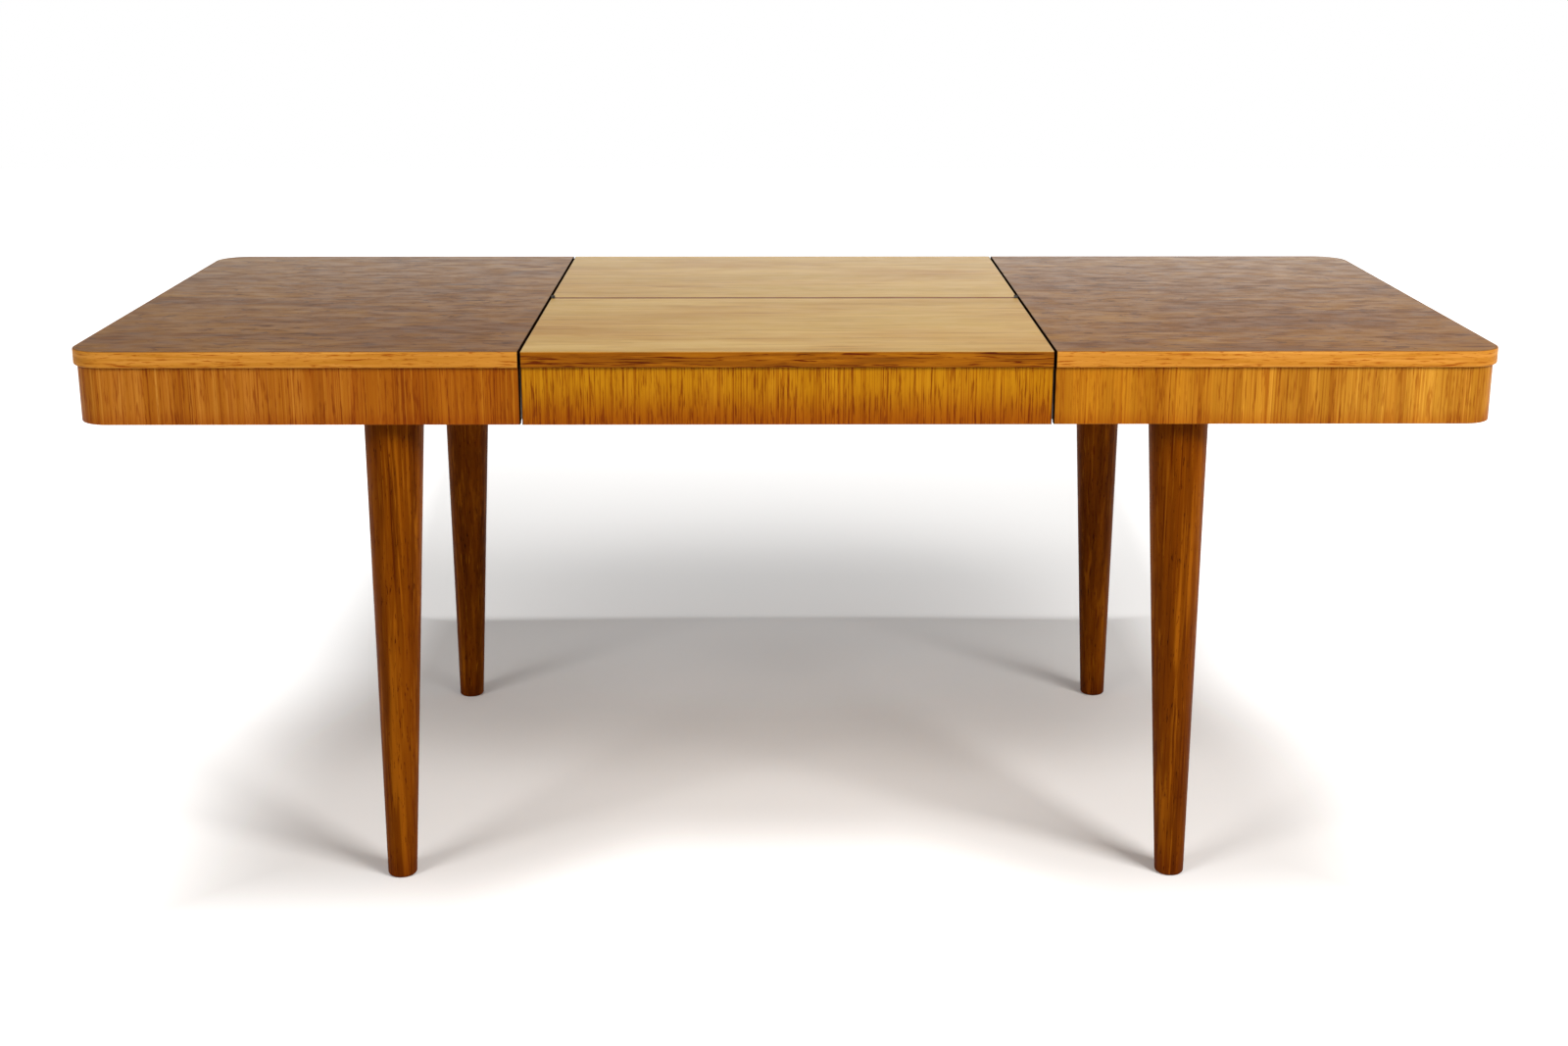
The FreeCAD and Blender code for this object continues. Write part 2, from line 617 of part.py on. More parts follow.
def frame_nodes():
    nodes = {}
    for side in (LEFT, RIGHT):
        for depth in (FRONT, BACK):
            nodes[f"leg_{DEPTH_NAMES[depth]}_{SIDE_NAMES[side]}"] = leg(side, depth)
        nodes[f"end_rail_{SIDE_NAMES[side]}"] = end_rail(side)
        nodes[f"stow_bearer_{SIDE_NAMES[side]}"] = bearer(side)
    for depth in (FRONT, BACK):
        nodes[f"slide_rail_{DEPTH_NAMES[depth]}"] = slide_rail(depth)
    nodes["tenon_pegs"] = group([peg(side, depth) for side in (LEFT, RIGHT) for depth in (FRONT, BACK)])
    heads = bearer_screw_heads(FRONT) + bearer_screw_heads(BACK)
    nodes["bearer_screws"] = group([screw(BEARER_SCREW, head, UP) for head in heads])
    return nodes


def half_nodes(side):
    name = SIDE_NAMES[side]
    nodes = {
        f"top_{name}": half_top(side),
        f"top_lipping_{name}": half_lipping(side),
        f"end_apron_{name}": end_apron(side),
        f"apron_corners_{name}": group([apron_corner(side, depth) for depth in (FRONT, BACK)]),
        f"glue_blocks_{name}": glue_blocks(side),
        f"runner_screws_{name}": runner_screws(side),
    }
    for depth in (FRONT, BACK):
        nodes[f"side_apron_{DEPTH_NAMES[depth]}_{name}"] = half_apron(side, depth)
        nodes[f"runner_{DEPTH_NAMES[depth]}_{name}"] = runner(side, depth)
    return nodes


def leaf_nodes(depth):
    name = DEPTH_NAMES[depth]
    into_apron = Vector(0, depth, 0)
    fold_screws = []
    for side in (LEFT, RIGHT):
        inward = Vector(-side, 0, 0)
        fold_screws += [screw(FOLD_SCREW, head, inward) for head in fold_screw_heads(side, depth)]
    board_screws = [screw(APRON_HINGE_SCREW, head, UP) for head in board_screw_heads(depth)]
    apron_screws = [screw(APRON_HINGE_SCREW, head, into_apron) for head in apron_screw_heads(depth)]
    middles = apron_hinge_middles()
    return {
        f"leaf_board_{name}": leaf_board(depth),
        f"leaf_lipping_{name}": leaf_lipping(depth),
        f"leaf_apron_{name}": leaf_apron(depth),
        f"fold_plates_{name}": group([fold_plate(side, depth) for side in (LEFT, RIGHT)]),
        f"fold_screws_{name}": group(fold_screws),
        f"board_hinge_leaves_{name}": group([board_hinge_leaf(middle, depth) for middle in middles]),
        f"apron_hinge_leaves_{name}": group([apron_hinge_leaf(middle, depth) for middle in middles]),
        f"apron_hinge_pins_{name}": group(
            [apron_hinge_rod(middle, depth, APRON_PIN_DIAMETER / 2, 1.0) for middle in middles]
        ),
        f"board_hinge_screws_{name}": group(board_screws),
        f"apron_hinge_screws_{name}": group(apron_screws),
    }


def main():
    nodes = frame_nodes()
    for side in (LEFT, RIGHT):
        nodes.update(half_nodes(side))
    for depth in (FRONT, BACK):
        nodes.update(leaf_nodes(depth))
    nodes["fold_pins"] = group([fold_pin(side) for side in (LEFT, RIGHT)])
    os.makedirs("parts", exist_ok=True)
    for name, shape in nodes.items():
        shape.exportStep(os.path.join("parts", f"{name}.step"))
        print(name, len(shape.Solids), "solid(s), valid" if shape.isValid() else "solid(s), NOT VALID")


main()
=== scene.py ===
# %% [markdown]
# # A pulled-out dining table
#
# The table was worked out in CAD: two half tops on runners, a fixed frame with four round legs, and a
# folding leaf between the halves. This lesson loads that model as a fixed frame, puts a camera where the
# photo was taken, and gives every piece the wood or metal it is made of. Pieces whose roundness shows, the
# legs, the edges of the tops and the bent aprons, are made again here as smooth surfaces. The flat boards
# and the hidden frame stay as the CAD made them.

# %% Load the frame
import bpy
import numpy as np
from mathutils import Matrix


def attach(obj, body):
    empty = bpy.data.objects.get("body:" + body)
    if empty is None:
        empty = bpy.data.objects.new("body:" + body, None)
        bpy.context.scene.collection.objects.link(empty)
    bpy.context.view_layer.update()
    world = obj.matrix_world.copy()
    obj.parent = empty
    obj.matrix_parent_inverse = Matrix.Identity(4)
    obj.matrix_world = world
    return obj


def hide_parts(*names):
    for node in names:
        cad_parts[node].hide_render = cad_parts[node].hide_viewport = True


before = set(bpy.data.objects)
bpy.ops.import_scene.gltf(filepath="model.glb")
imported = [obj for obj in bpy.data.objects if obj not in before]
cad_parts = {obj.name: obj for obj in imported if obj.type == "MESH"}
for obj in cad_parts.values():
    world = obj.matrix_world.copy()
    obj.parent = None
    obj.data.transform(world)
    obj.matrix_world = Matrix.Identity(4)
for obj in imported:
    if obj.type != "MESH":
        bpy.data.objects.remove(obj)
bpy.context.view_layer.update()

MM = 0.001

# %% [markdown]
# ## Sizes
#
# New pieces have to fit the old ones, so their sizes are read off the CAD pieces and not typed in again. A
# mesh keeps its points in one long list; foreach_get copies that list into an array in one go, and the
# smallest and largest coordinates are the corners of the piece's box. Sizes are in millimetres, as on a
# joiner's drawing, and go to Blender's metres only when a mesh is made.

# %% Read sizes off the CAD pieces


def node_box(node):
    """Lower and upper corner of a CAD piece, in mm to a hundredth."""
    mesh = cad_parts[node].data
    points = np.zeros(3 * len(mesh.vertices), dtype=np.float32)
    mesh.vertices.foreach_get("co", points)
    points = points.reshape(-1, 3).astype(float) / MM
    return np.round([points.min(axis=0), points.max(axis=0)], 2)


edging_low, edging_high = node_box("top_lipping_right")
SEAM_X = edging_low[0]
UNDERSIDE = edging_low[2]
END_X, EDGE_Y, TOP_Z = edging_high
LIPPING = EDGE_Y - node_box("top_right")[1, 1]
CORNER_RADIUS = END_X - node_box("apron_corners_right")[0, 0]

leaf_low, leaf_high = node_box("leaf_lipping_back")
LEAF_END = leaf_high[0]
LEAF_UNDERSIDE = leaf_low[2]

apron_low, apron_high = node_box("side_apron_back_right")
APRON_BOTTOM = apron_low[2]
APRON_SETBACK = EDGE_Y - apron_high[1]
APRON_THICKNESS = apron_high[1] - apron_low[1]

rail_low, rail_high = node_box("end_rail_right")
FRAME_BOTTOM = rail_low[2]
FRAME_MIDDLE = (rail_low[2] + rail_high[2]) / 2
LEG_X = (rail_low[0] + rail_high[0]) / 2
LEG_TOP = node_box("leg_back_right")[1, 2]
print("half top", END_X - SEAM_X, "mm long, leaf", 2 * LEAF_END, "mm, top at", TOP_Z, "mm")

# %% [markdown]
# ## The camera
#
# The photo was measured: seams, table edges and feet gave the camera's place by least squares. A camera
# needs a point, a viewing direction and a lens. The direction is given as angles, because they are
# easier to read than a matrix: how far the view turns from straight along Y, how far it looks down, and
# how far the camera tips about its own view.

# %% Put up the camera
CAMERA_PLACE = np.array([-27.9, -3139.2, 1305.8]) * MM
CAMERA_TURN = np.radians(0.4975)
CAMERA_DOWN = np.radians(15.762)
CAMERA_ROLL = np.radians(0.051)
FOCAL_LENGTH_MM = 47.85
SENSOR_MM = 36.0


def camera_axes(turn, down, roll):
    """Right, up and forward of a camera that turns about Z, then looks down, then rolls about its view."""
    forward = np.array([np.sin(turn) * np.cos(down), np.cos(turn) * np.cos(down), -np.sin(down)])
    right = np.array([np.cos(turn), -np.sin(turn), 0.0])
    up = np.cross(right, forward)
    c, s = np.cos(roll), np.sin(roll)
    return c * right + s * up, c * up - s * right, forward


def placed(place, axes):
    """A matrix, as Blender takes it, whose columns are right, up, backward and the place."""
    right, up, forward = axes
    matrix = np.eye(4)
    matrix[:3] = np.column_stack([right, up, -forward, place])
    return matrix.T.tolist()


scene = bpy.context.scene
camera_data = bpy.data.cameras.new("photo_camera")
camera_data.sensor_fit = "HORIZONTAL"
camera_data.sensor_width = SENSOR_MM
camera_data.lens = FOCAL_LENGTH_MM
camera = bpy.data.objects.new("photo_camera", camera_data)
camera.matrix_world = placed(CAMERA_PLACE, camera_axes(CAMERA_TURN, CAMERA_DOWN, CAMERA_ROLL))
scene.collection.objects.link(camera)
scene.camera = camera
scene.view_settings.view_transform = "Standard"
print("camera at", [round(v, 3) for v in camera.location])

# %% [markdown]
# ## Node helper and colour helper
#
# Every finish below is a small tree of shader nodes. One function adds a node, sets what it is told and
# joins its inputs, so that a tree reads from top to bottom like a recipe. Colours are written as the hex
# values that a colour picker shows, and a second function turns them into the linear values that the
# renderer adds up.

# %% Helpers for materials


def linear(hex_colour):
    """sRGB hex to linear RGBA.

    A value v up to 0.04045 becomes v / 12.92, a larger one ((v + 0.055) / 1.055) to the power 2.4.
    """
    v = np.array([int(hex_colour[i : i + 2], 16) for i in (1, 3, 5)]) / 255
    rgb = np.where(v <= 0.04045, v / 12.92, ((v + 0.055) / 1.055) ** 2.4)
    return (*rgb.tolist(), 1.0)


def add(tree, kind, links=(), values=(), stops=(), **settings):
    """Adds a node: settings go on the node, values on its inputs, links join sockets to its inputs.

    stops fill a colour ramp with (place, hex colour) pairs.
    """
    node = tree.nodes.new(kind)
    for name, value in settings.items():
        setattr(node, name, value)
    for key, value in values:
        node.inputs[key].default_value = value
    for socket, key in links:
        tree.links.new(socket, node.inputs[key])
    if stops:
        ramp = node.color_ramp.elements
        while len(ramp) < len(stops):
            ramp.new(1.0)
        for element, (place, colour) in zip(ramp, stops):
            element.position = place
            element.color = linear(colour)
    return node


def new_material(name):
    """An empty material with its node tree, and the socket that its shader goes to."""
    material = bpy.data.materials.new(name)
    material.use_nodes = True
    tree = material.node_tree
    tree.nodes.clear()
    return material, tree, add(tree, "ShaderNodeOutputMaterial").inputs["Surface"]


def combine(tree, operation, first, second):
    """Two values joined by one Math node."""
    return add(tree, "ShaderNodeMath", [(first, 0), (second, 1)], operation=operation).outputs[0]


def band(tree, value, low, high, to_low=0.0, to_high=1.0):
    """A value from low to high stretched smoothly to another range."""
    node = add(
        tree,
        "ShaderNodeMapRange",
        [(value, "Value")],
        [("From Min", low), ("From Max", high), ("To Min", to_low), ("To Max", to_high)],
        interpolation_type="SMOOTHSTEP",
    )
    return node.outputs["Result"]


WHITE = "#ffffff"
print("white is", linear(WHITE))

# %% [markdown]
# ## Floor
#
# The table stands on pale studio paper that fades to white all round. The paper is one large plane, matt
# all over, and takes the soft shadows. What the camera sees of it is also lifted towards white by some added
# glow, and the lift is a pattern of its own: little near the legs, full further out to the sides and in
# front, and a little at the back, where the floor shows below the aprons. Behind the table the paper was
# bent up in the photo and caught more light; a step in the lift draws that line, and beyond it the lift
# grows until the paper is white. The lamps light the paper as usual, because only rays from the camera or
# from a shiny surface see the lift.

# %% Lay the floor
# Places are metres from the table's middle, lifts are shares of white.
FLOOR_HALF = 9.0
PAPER = "#f0edea"
SIDE_FADE = (0.7, 1.2)  # from here to there sideways the paper turns white
SIDE_LEAN = (0.0, 0.55, 0.0, 0.13)  # between these two Y the white comes in, by 0 to 0.13
FRONT_FADE = (-0.12, -0.62)  # the same towards the viewer, along Y
FRONT_LEAN = (0.15, 0.5, 0.0, 0.2)  # between these two X the white draws back, by 0 to 0.2
DEEP_CENTRE_Y = 0.6
DEEP_REACH = (0.85, 0.55)  # half axes of an oval at the back, which the camera sees below the aprons
DEEP_FADE = (0.2, 1.1)  # where its lift begins to fall and where it ends, in half axes
DEEP_LIFT = 0.22
BEND_LINE = (0.75, 0.82)
BEND_LIFT = 0.33
WALL_FADE = (0.8, 3.8)
WALL_LIFT = 0.67

floor_corners = np.array([[-1, -1, 0], [1, -1, 0], [1, 1, 0], [-1, 1, 0]]) * FLOOR_HALF
floor_mesh = bpy.data.meshes.new("studio_floor")
floor_mesh.from_pydata(floor_corners.tolist(), [], [(0, 1, 2, 3)])
floor = bpy.data.objects.new("studio_floor", floor_mesh)
scene.collection.objects.link(floor)

paper, tree, surface = new_material("matt_studio_paper")
where = add(tree, "ShaderNodeTexCoord").outputs["Object"]
place = add(tree, "ShaderNodeSeparateXYZ", [(where, 0)])
back = place.outputs["Y"]
across = add(tree, "ShaderNodeMath", [(place.outputs["X"], 0)], operation="ABSOLUTE").outputs[0]
aside = combine(tree, "ADD", across, band(tree, back, *SIDE_LEAN))
ahead = combine(tree, "ADD", back, band(tree, across, *FRONT_LEAN))
edges = combine(tree, "MAXIMUM", band(tree, aside, *SIDE_FADE), band(tree, ahead, *FRONT_FADE))
centred = add(
    tree,
    "ShaderNodeMapping",
    [(where, "Vector")],
    [("Location", (0, DEEP_CENTRE_Y, 0)), ("Scale", (*DEEP_REACH, 1))],
    vector_type="TEXTURE",
)
away = add(tree, "ShaderNodeVectorMath", [(centred.outputs[0], 0)], operation="LENGTH").outputs["Value"]
deep = band(tree, away, *DEEP_FADE, DEEP_LIFT, 0.0)
bend = band(tree, back, *BEND_LINE, 0.0, BEND_LIFT)
wall = combine(tree, "ADD", bend, band(tree, back, *WALL_FADE, 0.0, WALL_LIFT))
lift = combine(tree, "MAXIMUM", edges, combine(tree, "MAXIMUM", deep, wall))
ray = add(tree, "ShaderNodeLightPath")
seen = combine(tree, "MAXIMUM", ray.outputs["Is Camera Ray"], ray.outputs["Is Glossy Ray"])
strength = combine(tree, "MULTIPLY", seen, lift)
matt = add(tree, "ShaderNodeBsdfDiffuse", values=[("Color", linear(PAPER))])
white = add(tree, "ShaderNodeEmission", [(strength, "Strength")], [("Color", linear(WHITE))])
lifted = add(tree, "ShaderNodeAddShader", [(matt.outputs[0], 0), (white.outputs[0], 1)])
tree.links.new(lifted.outputs[0], surface)
floor_mesh.materials.append(paper)
print("floor", 2 * FLOOR_HALF, "m square")

# %% [markdown]
# ## Background
#
# The world round the table is plain white to the camera, so no edge shows where the floor ends. For
# lighting it is much dimmer and only fills the shadows. Shiny surfaces see a third thing: white near the
# horizon, as walls would be, and a dark ceiling above.

# %% Set the world
WORLD_LIGHT = 0.21
SKY_RISE = (0.02, 0.24)  # from this height of the view to that one the walls give way to the ceiling
SKY_TOP = 0.15

world = bpy.data.worlds.new("white_studio")
scene.world = world
world.use_nodes = True
tree = world.node_tree
tree.nodes.clear()
ray = add(tree, "ShaderNodeLightPath")
direct = combine(tree, "MAXIMUM", ray.outputs["Is Camera Ray"], ray.outputs["Is Transmission Ray"])
look = add(tree, "ShaderNodeSeparateXYZ", [(add(tree, "ShaderNodeTexCoord").outputs["Generated"], 0)])
backdrop = combine(tree, "MAXIMUM", band(tree, look.outputs["Z"], *SKY_RISE, 1.0, SKY_TOP), direct)
dim = add(tree, "ShaderNodeBackground", values=[("Color", linear(WHITE)), ("Strength", WORLD_LIGHT)])
plain = add(tree, "ShaderNodeBackground", [(backdrop, "Strength")], [("Color", linear(WHITE))])
seen = combine(tree, "MAXIMUM", direct, ray.outputs["Is Glossy Ray"])
mixed = add(tree, "ShaderNodeMixShader", [(seen, 0), (dim.outputs[0], 1), (plain.outputs[0], 2)])
add(tree, "ShaderNodeOutputWorld", [(mixed.outputs[0], "Surface")])
print("world", world.name, "lights with", WORLD_LIGHT)

# %% [markdown]
# ## A card for the sheen
#
# The bent paper also shows as a sheen on the tops, more at the far edge than at the near one. A white card
# behind the table stands for it, brighter on the right, as the light was. It is seen in reflections only,
# so it hides nothing from any side.

# %% Stand up the card
CARD_HALF_WIDTH = 3.0
CARD_HEIGHT = 1.0
CARD_Y = 0.95
CARD_SPREAD = (-1.9, 1.0)  # between these two X the glow grows
CARD_GLOW = (1.1, 1.85)
CARD_WHITE = "#fff8ee"

card_mesh = bpy.data.meshes.new("white_card")
card_corners = np.array([[-1, 1, 0], [1, 1, 0], [1, 1, 1], [-1, 1, 1]])
card_corners = card_corners * [CARD_HALF_WIDTH, CARD_Y, CARD_HEIGHT]
card_mesh.from_pydata(card_corners.tolist(), [], [(0, 1, 2, 3)])
card = bpy.data.objects.new("white_card", card_mesh)
for ray_kind in ("camera", "diffuse", "shadow", "transmission"):
    setattr(card, f"visible_{ray_kind}", False)
scene.collection.objects.link(card)

glow, tree, surface = new_material("lit_white_card")
place = add(tree, "ShaderNodeSeparateXYZ", [(add(tree, "ShaderNodeTexCoord").outputs["Object"], 0)])
strength = band(tree, place.outputs["X"], *CARD_SPREAD, *CARD_GLOW)
white = add(tree, "ShaderNodeEmission", [(strength, "Strength")], [("Color", linear(CARD_WHITE))])
tree.links.new(white.outputs[0], surface)
card_mesh.materials.append(glow)
print("card", 2 * CARD_HALF_WIDTH, "m wide,", CARD_HEIGHT, "m high")

# %% [markdown]
# ## Lamps
#
# Two large soft boxes stand in front of the table, left and right and above it: the legs throw two faint
# shadows backwards, one to each side, and the right box is the stronger. A third, weak box hangs overhead
# and lifts the tops a little.

# %% Hang the soft boxes
# Each box has its place, the point it looks at and its width, in metres, and its power in watts.
SOFT_BOXES = {
    "soft_box_left": ((-2.7, -2.9, 3.1), (-0.2, 0.0, 0.5), 1.5, 80.0),
    "soft_box_right": ((2.4, -2.5, 2.9), (0.5, 0.0, 0.5), 1.5, 150.0),
    "soft_box_overhead": ((0.4, -0.9, 3.3), (0.2, 0.0, 0.0), 2.2, 10.0),
}
STEEP = 0.95  # a box that looks down more steeply is turned by Y, since Z points nearly along its view

for name, (place, target, width, power) in SOFT_BOXES.items():
    lamp = bpy.data.lights.new(name, "AREA")
    lamp.size = width
    lamp.energy = power
    box = bpy.data.objects.new(name, lamp)
    backward = np.array(place) - np.array(target)
    backward = backward / np.linalg.norm(backward)
    upright = [0.0, 1.0, 0.0] if abs(backward[2]) > STEEP else [0.0, 0.0, 1.0]
    side = np.cross(upright, backward)
    side = side / np.linalg.norm(side)
    box.matrix_world = placed(np.array(place), (side, np.cross(backward, side), -backward))
    scene.collection.objects.link(box)
print(len(SOFT_BOXES), "lamps")

# %% [markdown]
# ## Wood
#
# All the wood is one recipe with different sizes and colours. Wood is long fibres, so every pattern is a
# noise that is drawn out along the grain. The stretch is done by a Mapping node that divides each
# coordinate by a real length in millimetres, so a size reads straight from the code. A broad figure gives
# the ground colour. Layers of lines and flecks are laid over it, each a noise of which only the peaks are
# kept. Fine pores dent the lacquer, and its polish is cloudy, as hand-rubbed lacquer is: in low light the
# sheen comes and goes from patch to patch. Last, edges are worn: a Bevel node gives the normal of a
# slightly rounded edge, and where that leaves the true normal the lacquer is thinner.
#
# The noise fills space, so upright grain runs round a bent apron or a turned leg with no seam. A lipping
# is bent along its grain, so it carries its own coordinates instead: the length along the strip.

# %% The wood recipe
# Real pores and fine grain lines are well under a millimetre wide, less than a pixel from where the camera
# stands. The finest here are drawn coarser, 1.6 to 3 mm wide, so that they don't blur to one flat tone.
AXES = "XYZ"
NOISE_DETAIL = 3.0
NOISE_ROUGHNESS = 0.55
FIGURE_DETAIL = 4.0
FIGURE_DISTORTION = 0.6
PORE_DETAIL = 2.0
PORE_PEAKS = (0.52, 0.7)
PORE_DEPTH_MM = 0.15
PORE_STRENGTH = 0.25
CLOUD_MM = (46, 24)
CLOUD_SPAN = (0.35, 0.65)
WORN_RADIUS_MM = 1.2
WORN_BEND = (0.995, 0.85)  # dot product of the two normals at a sound and at a worn edge
WORN_PATCH_MM = 30
WORN_PATCHES = (0.3, 0.7, 0.25, 1.0)
BEVEL_SAMPLES = 4
# near black for the sawn ends at the seams: end grain, darkened further as painted shade of the seam gaps
END_GRAIN_AND_SEAM_SHADE = "#22150a"
SHIFTS = {"patch": 2.2, "layer": 3.1, "pore": 5.9, "cloud": 7.7}  # so that no two noises coincide
MIX_UNDER, MIX_OVER, MIX_RESULT = 6, 7, 2  # the sockets of a Mix node that hold colours


def grain_noise(tree, where, grain, along_mm, across_mm, detail=NOISE_DETAIL, distortion=0.0, shift=0.0):
    """Noise whose blobs are along_mm long on the grain axis and across_mm wide on the other two."""
    scale = [1 / (MM * (along_mm if axis == grain else across_mm)) for axis in AXES]
    stretch = [("Scale", scale), ("Location", (shift, shift, shift))]
    stretched = add(tree, "ShaderNodeMapping", [(where, "Vector")], stretch)
    noise = add(
        tree,
        "ShaderNodeTexNoise",
        [(stretched.outputs[0], "Vector")],
        [("Scale", 1.0), ("Detail", detail), ("Roughness", NOISE_ROUGHNESS), ("Distortion", distortion)],
    )
    return noise.outputs["Fac"]


def tint(tree, share, under, hex_colour, blend="MULTIPLY"):
    """The colour under, multiplied or mixed with another colour by a share."""
    node = add(
        tree,
        "ShaderNodeMix",
        data_type="RGBA",
        blend_type=blend,
        links=[(share, "Factor"), (under, MIX_UNDER)],
        values=[(MIX_OVER, linear(hex_colour))],
    )
    return node.outputs[MIX_RESULT]


def wear(tree, where):
    """Share of worn edge, and the normal of the rounded edge.

    The share is how far the dot product of the true and the rounded normal falls below 1, in patches.
    """
    radius = [("Radius", WORN_RADIUS_MM * MM)]
    rounded = add(tree, "ShaderNodeBevel", values=radius, samples=BEVEL_SAMPLES).outputs[0]
    true = add(tree, "ShaderNodeNewGeometry").outputs["Normal"]
    close = add(tree, "ShaderNodeVectorMath", [(true, 0), (rounded, 1)], operation="DOT_PRODUCT")
    edge = band(tree, close.outputs["Value"], *WORN_BEND)
    patches = grain_noise(tree, where, "X", WORN_PATCH_MM, WORN_PATCH_MM, shift=SHIFTS["patch"])
    return combine(tree, "MULTIPLY", edge, band(tree, patches, *WORN_PATCHES)), rounded


def wood(
    name, grain, figure_mm, figure, layers, pores_mm, gloss, worn, bands=(), cut=(), coordinates="Object"
):
    """Lacquered wood along a grain axis.

    figure_mm is (along, across) and figure its colour stops. Each layer is (along mm, across mm,
    distortion, low, high, colour, blend): the noise from low to high lays the colour on. gloss is
    (roughness, how far that changes from cloud to cloud, specular level), worn the colour of worn edges.
    Each of bands is (axis, from mm, to mm, colour, blend): the colour comes in between two distances from
    the table's middle or from the floor. cut is the same for a sawn end across X, from mm to mm: it is
    painted near black, as end grain and as painted shade of the seam gap, and has no lacquer.
    """
    roughness, change, specular = gloss
    material, tree, surface = new_material(name)
    sockets = add(tree, "ShaderNodeTexCoord").outputs
    where = sockets[coordinates]
    rings = grain_noise(tree, where, grain, *figure_mm, FIGURE_DETAIL, FIGURE_DISTORTION)
    colour = add(tree, "ShaderNodeValToRGB", [(rings, "Fac")], stops=figure).outputs["Color"]
    for number, (along, across, distortion, low, high, shade, blend) in enumerate(layers, 1):
        shift = SHIFTS["layer"] * number
        lines = grain_noise(tree, where, grain, along, across, distortion=distortion, shift=shift)
        colour = tint(tree, band(tree, lines, low, high), colour, shade, blend)
    reach = add(tree, "ShaderNodeVectorMath", [(sockets["Object"], 0)], operation="ABSOLUTE").outputs[0]
    place = add(tree, "ShaderNodeSeparateXYZ", [(reach, 0)])
    for axis, start, end, shade, blend in bands:
        colour = tint(tree, band(tree, place.outputs[axis], start * MM, end * MM), colour, shade, blend)
    edge, rounded = wear(tree, where)
    colour = tint(tree, edge, colour, worn, "MIX")
    lacquer = []
    if cut:
        sawn_end_and_shade = band(tree, place.outputs["X"], cut[0] * MM, cut[1] * MM)
        # painted shade: the sawn end is painted near black, so that the seam gap looks dark
        colour = tint(tree, sawn_end_and_shade, colour, END_GRAIN_AND_SEAM_SHADE, "MIX")
        lacquer = [(band(tree, sawn_end_and_shade, 0.0, 1.0, specular, 0.0), "Specular IOR Level")]
    clouds = grain_noise(tree, where, grain, *CLOUD_MM, shift=SHIFTS["cloud"])
    polish = band(tree, clouds, *CLOUD_SPAN, roughness - change, roughness + change)
    pores = grain_noise(tree, where, grain, *pores_mm, PORE_DETAIL, shift=SHIFTS["pore"])
    dent = add(
        tree,
        "ShaderNodeBump",
        [(band(tree, pores, *PORE_PEAKS), "Height"), (rounded, "Normal")],
        [("Strength", PORE_STRENGTH), ("Distance", PORE_DEPTH_MM * MM)],
        invert=True,
    )
    shader = add(
        tree,
        "ShaderNodeBsdfPrincipled",
        [(colour, "Base Color"), (polish, "Roughness"), (dent.outputs[0], "Normal"), *lacquer],
        [("Specular IOR Level", specular)],
    )
    tree.links.new(shader.outputs[0], surface)
    return material


def paint(material, *nodes):
    """Gives CAD nodes one material in place of their own."""
    for node in nodes:
        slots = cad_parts[node].data.materials
        slots.clear()
        slots.append(material)
    print(material.name, "on", ", ".join(nodes))


# %% [markdown]
# ## Oak on the tops and the leaf
#
# The half tops have stood in the light for years: their oak veneer is a faded grey brown with short dark
# flecks, where the knife cut across the rays of the wood. The leaf was kept shut away and is still pale,
# with long faint streaks. Along its fold each board has a darker edging, which shows as the thin brown line
# across the leaf. The lacquer on top is old and half matt. The ends that were sawn at the two seams were
# never lacquered. They are painted near black, darker than end grain alone, as painted shade of the narrow
# seam gaps, and look black from above.

# %% Tops and leaf
TOP_GLOSS = (0.365, 0.04, 0.15)
LEAF_GLOSS = (0.365, 0.02, 0.15)
CUT_START, CUT_FULL = 1.4, 0.3  # mm from a sawn end where its dark begins and where it is full
HALF_CUT = (SEAM_X + CUT_START, SEAM_X + CUT_FULL)
LEAF_CUT = (LEAF_END - CUT_START, LEAF_END - CUT_FULL)
FOLD_EDGING = ("Y", 7.0, 5.5, "#a87c4a", "MULTIPLY")

faded_oak = wood(
    "faded_oak_veneer",
    "X",
    (300, 40),
    [(0.3, "#7f5119"), (0.5, "#8e5e21"), (0.7, "#9a6b2a")],
    [
        (60, 30, 0.8, 0.5, 0.68, "#7e4e1b", "MIX"),
        (26, 16, 1.0, 0.57, 0.68, "#6a3e12", "MIX"),
        (60, 5, 0.8, 0.52, 0.66, "#b89c78", "MULTIPLY"),
        (260, 110, 0.6, 0.45, 0.65, "#ded0bc", "MULTIPLY"),
    ],
    (22, 2.4),
    TOP_GLOSS,
    "#9a7040",
    cut=HALF_CUT,
)
pale_oak = wood(
    "pale_oak_veneer",
    "X",
    (420, 40),
    [(0.3, "#c19b52"), (0.5, "#caa45e"), (0.7, "#d2ae69")],
    [
        (200, 8, 0.4, 0.52, 0.72, "#e2d2b8", "MULTIPLY"),
        (60, 4, 0.3, 0.6, 0.72, "#e0cfb4", "MULTIPLY"),
        (400, 110, 0.5, 0.4, 0.7, "#ecdcc4", "MULTIPLY"),
    ],
    (40, 3.0),
    LEAF_GLOSS,
    "#a87a3c",
    [FOLD_EDGING],
    LEAF_CUT,
)
paint(faded_oak, "top_left", "top_right")
paint(pale_oak, "leaf_board_front", "leaf_board_back")

# %% [markdown]
# ## A strip carried along a path
#
# A lipping and a bent apron are the same kind of thing: a small cross-section carried round the outline of
# a half top. So one function makes the outline and another carries a section along it. The outline starts
# at the front seam, runs along the front, turns a quarter circle, crosses the end and comes back along the
# rear. At each point it also gives the way outwards, so a section can be drawn as distances outwards and
# upwards. The whole strip is then one sum of two arrays, with no loop over its points.

# %% Outline, section and sweep
CORNER_STEPS = 24
RUN_STEP = 30.0
ARRIS_STEPS = 5
SHADING_MARGIN = 0.3
SHARP_ANGLE = np.radians(40)


